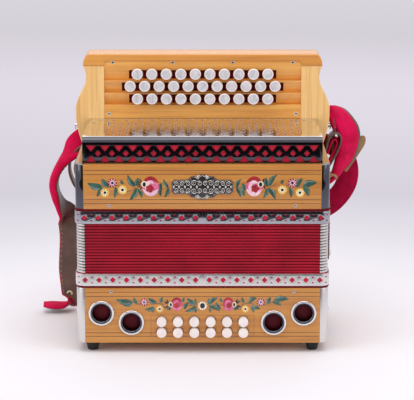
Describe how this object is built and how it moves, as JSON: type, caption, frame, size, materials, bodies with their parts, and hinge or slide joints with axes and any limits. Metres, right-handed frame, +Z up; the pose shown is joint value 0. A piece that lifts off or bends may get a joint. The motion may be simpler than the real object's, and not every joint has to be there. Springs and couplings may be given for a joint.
{
  "type": "diatonic button accordion",
  "caption": "Button accordion standing on its bass end: wooden casings, pierced metal cover, stepped fingerboard with pearl buttons, folding crimson bellows and shoulder straps.",
  "frame": {"origin": "on the floor, under the middle of the two casings", "axes": "+Z up through the bellows towards the fingerboard, -Y towards the side with the bass buttons, +X to the right seen from there"},
  "size_m": [0.4566, 0.2194, 0.3797],
  "materials": {
    "honey_wood": "clear lacquered orange-brown softwood with straight grain",
    "maple": "clear lacquered pale maple",
    "pale_wood": "bare spruce",
    "chrome": "polished chrome plate",
    "satin_metal": "satin nickel plate",
    "pearl": "white rim with a mother-of-pearl disc",
    "crimson_cloth": "crimson bellows cloth over card folds",
    "strap_leather": "brown leather lined with crimson velvet",
    "brown_leather": "smooth brown leather",
    "black_rubber": "matte"
  },
  "bodies": {
    "bass_end": {"bass_casing": "honey_wood", "bass_metalwork": "satin_metal", "rubber_feet": "black_rubber", "bass_horns": "chrome", "lower_bellows_frame": "satin_metal", "bass_strap": "brown_leather", "bass_reed_blocks": "pale_wood", "bellows": "crimson_cloth"},
    "treble_end": {"upper_bellows_frame": "chrome", "treble_casing": "honey_wood", "treble_metalwork": "chrome", "grille": "chrome", "fingerboard_frame": "maple", "fingerboard_steps": "honey_wood", "treble_reed_blocks": "pale_wood", "leather_straps": "strap_leather"},
    "air_button": {"air_button": "pearl"},
    "treble_key_r1_01": {"treble_key_r1_01": "pearl"},
    "treble_key_r1_02": {"treble_key_r1_02": "pearl"},
    "treble_key_r1_03": {"treble_key_r1_03": "pearl"},
    "treble_key_r1_04": {"treble_key_r1_04": "pearl"},
    "treble_key_r1_05": {"treble_key_r1_05": "pearl"},
    "treble_key_r1_06": {"treble_key_r1_06": "pearl"},
    "treble_key_r1_07": {"treble_key_r1_07": "pearl"},
    "treble_key_r1_08": {"treble_key_r1_08": "pearl"},
    "treble_key_r1_09": {"treble_key_r1_09": "pearl"},
    "treble_key_r1_10": {"treble_key_r1_10": "pearl"},
    "treble_key_r2_01": {"treble_key_r2_01": "pearl"},
    "treble_key_r2_02": {"treble_key_r2_02": "pearl"},
    "treble_key_r2_03": {"treble_key_r2_03": "pearl"},
    "treble_key_r2_04": {"treble_key_r2_04": "pearl"},
    "treble_key_r2_05": {"treble_key_r2_05": "pearl"},
    "treble_key_r2_06": {"treble_key_r2_06": "pearl"},
    "treble_key_r2_07": {"treble_key_r2_07": "pearl"},
    "treble_key_r2_08": {"treble_key_r2_08": "pearl"},
    "treble_key_r2_09": {"treble_key_r2_09": "pearl"},
    "treble_key_r2_10": {"treble_key_r2_10": "pearl"},
    "treble_key_r2_11": {"treble_key_r2_11": "pearl"},
    "treble_key_r3_01": {"treble_key_r3_01": "pearl"},
    "treble_key_r3_02": {"treble_key_r3_02": "pearl"},
    "treble_key_r3_03": {"treble_key_r3_03": "pearl"},
    "treble_key_r3_04": {"treble_key_r3_04": "pearl"},
    "treble_key_r3_05": {"treble_key_r3_05": "pearl"},
    "treble_key_r3_06": {"treble_key_r3_06": "pearl"},
    "treble_key_r3_07": {"treble_key_r3_07": "pearl"},
    "treble_key_r3_08": {"treble_key_r3_08": "pearl"},
    "treble_key_r3_09": {"treble_key_r3_09": "pearl"},
    "treble_key_r3_10": {"treble_key_r3_10": "pearl"},
    "bass_button_r1_1": {"bass_button_r1_1": "pearl"},
    "bass_button_r1_2": {"bass_button_r1_2": "pearl"},
    "bass_button_r1_3": {"bass_button_r1_3": "pearl"},
    "bass_button_r1_4": {"bass_button_r1_4": "pearl"},
    "bass_button_r1_5": {"bass_button_r1_5": "pearl"},
    "bass_button_r1_6": {"bass_button_r1_6": "pearl"},
    "bass_button_r2_1": {"bass_button_r2_1": "pearl"},
    "bass_button_r2_2": {"bass_button_r2_2": "pearl"},
    "bass_button_r2_3": {"bass_button_r2_3": "pearl"},
    "bass_button_r2_4": {"bass_button_r2_4": "pearl"},
    "bass_button_r2_5": {"bass_button_r2_5": "pearl"},
    "bass_button_r2_6": {"bass_button_r2_6": "pearl"}
  },
  "joints": [
    {"name": "bellows_open", "type": "slide", "parent": "bass_end", "child": "treble_end", "axis": [0, 0, 1], "range_m": [0, 0.3], "deforming": ["bellows"]},
    {"name": "air_button_press", "type": "slide", "parent": "bass_end", "child": "air_button", "axis": [0, -1, 0], "range_m": [0, 0.004], "stiffness_N_per_m": 400, "springref_m": -0.002},
    {"name": "bass_r1_1_press", "type": "slide", "parent": "bass_end", "child": "bass_button_r1_1", "axis": [0, 1, 0], "range_m": [0, 0.0035], "stiffness_N_per_m": 300, "springref_m": -0.002},
    {"name": "bass_r1_2_press", "type": "slide", "parent": "bass_end", "child": "bass_button_r1_2", "axis": [0, 1, 0], "range_m": [0, 0.0035], "stiffness_N_per_m": 300, "springref_m": -0.002},
    {"name": "bass_r1_3_press", "type": "slide", "parent": "bass_end", "child": "bass_button_r1_3", "axis": [0, 1, 0], "range_m": [0, 0.0035], "stiffness_N_per_m": 300, "springref_m": -0.002},
    {"name": "bass_r1_4_press", "type": "slide", "parent": "bass_end", "child": "bass_button_r1_4", "axis": [0, 1, 0], "range_m": [0, 0.0035], "stiffness_N_per_m": 300, "springref_m": -0.002},
    {"name": "bass_r1_5_press", "type": "slide", "parent": "bass_end", "child": "bass_button_r1_5", "axis": [0, 1, 0], "range_m": [0, 0.0035], "stiffness_N_per_m": 300, "springref_m": -0.002},
    {"name": "bass_r1_6_press", "type": "slide", "parent": "bass_end", "child": "bass_button_r1_6", "axis": [0, 1, 0], "range_m": [0, 0.0035], "stiffness_N_per_m": 300, "springref_m": -0.002},
    {"name": "bass_r2_1_press", "type": "slide", "parent": "bass_end", "child": "bass_button_r2_1", "axis": [0, 1, 0], "range_m": [0, 0.0035], "stiffness_N_per_m": 300, "springref_m": -0.002},
    {"name": "bass_r2_2_press", "type": "slide", "parent": "bass_end", "child": "bass_button_r2_2", "axis": [0, 1, 0], "range_m": [0, 0.0035], "stiffness_N_per_m": 300, "springref_m": -0.002},
    {"name": "bass_r2_3_press", "type": "slide", "parent": "bass_end", "child": "bass_button_r2_3", "axis": [0, 1, 0], "range_m": [0, 0.0035], "stiffness_N_per_m": 300, "springref_m": -0.002},
    {"name": "bass_r2_4_press", "type": "slide", "parent": "bass_end", "child": "bass_button_r2_4", "axis": [0, 1, 0], "range_m": [0, 0.0035], "stiffness_N_per_m": 300, "springref_m": -0.002},
    {"name": "bass_r2_5_press", "type": "slide", "parent": "bass_end", "child": "bass_button_r2_5", "axis": [0, 1, 0], "range_m": [0, 0.0035], "stiffness_N_per_m": 300, "springref_m": -0.002},
    {"name": "bass_r2_6_press", "type": "slide", "parent": "bass_end", "child": "bass_button_r2_6", "axis": [0, 1, 0], "range_m": [0, 0.0035], "stiffness_N_per_m": 300, "springref_m": -0.002},
    {"name": "key_r1_01_press", "type": "hinge", "parent": "treble_end", "child": "treble_key_r1_01", "pos_m": [0, 0.072, 0.2737], "axis": [-1, 0, 0], "range_deg": [0, 2.6], "stiffness_Nm_per_rad": 0.5, "springref_deg": -4.58},
    {"name": "key_r1_02_press", "type": "hinge", "parent": "treble_end", "child": "treble_key_r1_02", "pos_m": [0, 0.072, 0.2737], "axis": [-1, 0, 0], "range_deg": [0, 2.6], "stiffness_Nm_per_rad": 0.5, "springref_deg": -4.58},
    {"name": "key_r1_03_press", "type": "hinge", "parent": "treble_end", "child": "treble_key_r1_03", "pos_m": [0, 0.072, 0.2737], "axis": [-1, 0, 0], "range_deg": [0, 2.6], "stiffness_Nm_per_rad": 0.5, "springref_deg": -4.58},
    {"name": "key_r1_04_press", "type": "hinge", "parent": "treble_end", "child": "treble_key_r1_04", "pos_m": [0, 0.072, 0.2737], "axis": [-1, 0, 0], "range_deg": [0, 2.6], "stiffness_Nm_per_rad": 0.5, "springref_deg": -4.58},
    {"name": "key_r1_05_press", "type": "hinge", "parent": "treble_end", "child": "treble_key_r1_05", "pos_m": [0, 0.072, 0.2737], "axis": [-1, 0, 0], "range_deg": [0, 2.6], "stiffness_Nm_per_rad": 0.5, "springref_deg": -4.58},
    {"name": "key_r1_06_press", "type": "hinge", "parent": "treble_end", "child": "treble_key_r1_06", "pos_m": [0, 0.072, 0.2737], "axis": [-1, 0, 0], "range_deg": [0, 2.6], "stiffness_Nm_per_rad": 0.5, "springref_deg": -4.58},
    {"name": "key_r1_07_press", "type": "hinge", "parent": "treble_end", "child": "treble_key_r1_07", "pos_m": [0, 0.072, 0.2737], "axis": [-1, 0, 0], "range_deg": [0, 2.6], "stiffness_Nm_per_rad": 0.5, "springref_deg": -4.58},
    {"name": "key_r1_08_press", "type": "hinge", "parent": "treble_end", "child": "treble_key_r1_08", "pos_m": [0, 0.072, 0.2737], "axis": [-1, 0, 0], "range_deg": [0, 2.6], "stiffness_Nm_per_rad": 0.5, "springref_deg": -4.58},
    {"name": "key_r1_09_press", "type": "hinge", "parent": "treble_end", "child": "treble_key_r1_09", "pos_m": [0, 0.072, 0.2737], "axis": [-1, 0, 0], "range_deg": [0, 2.6], "stiffness_Nm_per_rad": 0.5, "springref_deg": -4.58},
    {"name": "key_r1_10_press", "type": "hinge", "parent": "treble_end", "child": "treble_key_r1_10", "pos_m": [0, 0.072, 0.2737], "axis": [-1, 0, 0], "range_deg": [0, 2.6], "stiffness_Nm_per_rad": 0.5, "springref_deg": -4.58},
    {"name": "key_r2_01_press", "type": "hinge", "parent": "treble_end", "child": "treble_key_r2_01", "pos_m": [0, 0.072, 0.2737], "axis": [-1, 0, 0], "range_deg": [0, 2.9], "stiffness_Nm_per_rad": 0.5, "springref_deg": -4.58},
    {"name": "key_r2_02_press", "type": "hinge", "parent": "treble_end", "child": "treble_key_r2_02", "pos_m": [0, 0.072, 0.2737], "axis": [-1, 0, 0], "range_deg": [0, 2.9], "stiffness_Nm_per_rad": 0.5, "springref_deg": -4.58},
    {"name": "key_r2_03_press", "type": "hinge", "parent": "treble_end", "child": "treble_key_r2_03", "pos_m": [0, 0.072, 0.2737], "axis": [-1, 0, 0], "range_deg": [0, 2.9], "stiffness_Nm_per_rad": 0.5, "springref_deg": -4.58},
    {"name": "key_r2_04_press", "type": "hinge", "parent": "treble_end", "child": "treble_key_r2_04", "pos_m": [0, 0.072, 0.2737], "axis": [-1, 0, 0], "range_deg": [0, 2.9], "stiffness_Nm_per_rad": 0.5, "springref_deg": -4.58},
    {"name": "key_r2_05_press", "type": "hinge", "parent": "treble_end", "child": "treble_key_r2_05", "pos_m": [0, 0.072, 0.2737], "axis": [-1, 0, 0], "range_deg": [0, 2.9], "stiffness_Nm_per_rad": 0.5, "springref_deg": -4.58},
    {"name": "key_r2_06_press", "type": "hinge", "parent": "treble_end", "child": "treble_key_r2_06", "pos_m": [0, 0.072, 0.2737], "axis": [-1, 0, 0], "range_deg": [0, 2.9], "stiffness_Nm_per_rad": 0.5, "springref_deg": -4.58},
    {"name": "key_r2_07_press", "type": "hinge", "parent": "treble_end", "child": "treble_key_r2_07", "pos_m": [0, 0.072, 0.2737], "axis": [-1, 0, 0], "range_deg": [0, 2.9], "stiffness_Nm_per_rad": 0.5, "springref_deg": -4.58},
    {"name": "key_r2_08_press", "type": "hinge", "parent": "treble_end", "child": "treble_key_r2_08", "pos_m": [0, 0.072, 0.2737], "axis": [-1, 0, 0], "range_deg": [0, 2.9], "stiffness_Nm_per_rad": 0.5, "springref_deg": -4.58},
    {"name": "key_r2_09_press", "type": "hinge", "parent": "treble_end", "child": "treble_key_r2_09", "pos_m": [0, 0.072, 0.2737], "axis": [-1, 0, 0], "range_deg": [0, 2.9], "stiffness_Nm_per_rad": 0.5, "springref_deg": -4.58},
    {"name": "key_r2_10_press", "type": "hinge", "parent": "treble_end", "child": "treble_key_r2_10", "pos_m": [0, 0.072, 0.2737], "axis": [-1, 0, 0], "range_deg": [0, 2.9], "stiffness_Nm_per_rad": 0.5, "springref_deg": -4.58},
    {"name": "key_r2_11_press", "type": "hinge", "parent": "treble_end", "child": "treble_key_r2_11", "pos_m": [0, 0.072, 0.2737], "axis": [-1, 0, 0], "range_deg": [0, 2.9], "stiffness_Nm_per_rad": 0.5, "springref_deg": -4.58},
    {"name": "key_r3_01_press", "type": "hinge", "parent": "treble_end", "child": "treble_key_r3_01", "pos_m": [0, 0.072, 0.2737], "axis": [-1, 0, 0], "range_deg": [0, 4.2], "stiffness_Nm_per_rad": 0.5, "springref_deg": -4.58},
    {"name": "key_r3_02_press", "type": "hinge", "parent": "treble_end", "child": "treble_key_r3_02", "pos_m": [0, 0.072, 0.2737], "axis": [-1, 0, 0], "range_deg": [0, 4.2], "stiffness_Nm_per_rad": 0.5, "springref_deg": -4.58},
    {"name": "key_r3_03_press", "type": "hinge", "parent": "treble_end", "child": "treble_key_r3_03", "pos_m": [0, 0.072, 0.2737], "axis": [-1, 0, 0], "range_deg": [0, 4.2], "stiffness_Nm_per_rad": 0.5, "springref_deg": -4.58},
    {"name": "key_r3_04_press", "type": "hinge", "parent": "treble_end", "child": "treble_key_r3_04", "pos_m": [0, 0.072, 0.2737], "axis": [-1, 0, 0], "range_deg": [0, 4.2], "stiffness_Nm_per_rad": 0.5, "springref_deg": -4.58},
    {"name": "key_r3_05_press", "type": "hinge", "parent": "treble_end", "child": "treble_key_r3_05", "pos_m": [0, 0.072, 0.2737], "axis": [-1, 0, 0], "range_deg": [0, 4.2], "stiffness_Nm_per_rad": 0.5, "springref_deg": -4.58},
    {"name": "key_r3_06_press", "type": "hinge", "parent": "treble_end", "child": "treble_key_r3_06", "pos_m": [0, 0.072, 0.2737], "axis": [-1, 0, 0], "range_deg": [0, 4.2], "stiffness_Nm_per_rad": 0.5, "springref_deg": -4.58},
    {"name": "key_r3_07_press", "type": "hinge", "parent": "treble_end", "child": "treble_key_r3_07", "pos_m": [0, 0.072, 0.2737], "axis": [-1, 0, 0], "range_deg": [0, 4.2], "stiffness_Nm_per_rad": 0.5, "springref_deg": -4.58},
    {"name": "key_r3_08_press", "type": "hinge", "parent": "treble_end", "child": "treble_key_r3_08", "pos_m": [0, 0.072, 0.2737], "axis": [-1, 0, 0], "range_deg": [0, 4.2], "stiffness_Nm_per_rad": 0.5, "springref_deg": -4.58},
    {"name": "key_r3_09_press", "type": "hinge", "parent": "treble_end", "child": "treble_key_r3_09", "pos_m": [0, 0.072, 0.2737], "axis": [-1, 0, 0], "range_deg": [0, 4.2], "stiffness_Nm_per_rad": 0.5, "springref_deg": -4.58},
    {"name": "key_r3_10_press", "type": "hinge", "parent": "treble_end", "child": "treble_key_r3_10", "pos_m": [0, 0.072, 0.2737], "axis": [-1, 0, 0], "range_deg": [0, 4.2], "stiffness_Nm_per_rad": 0.5, "springref_deg": -4.58}
  ]
}
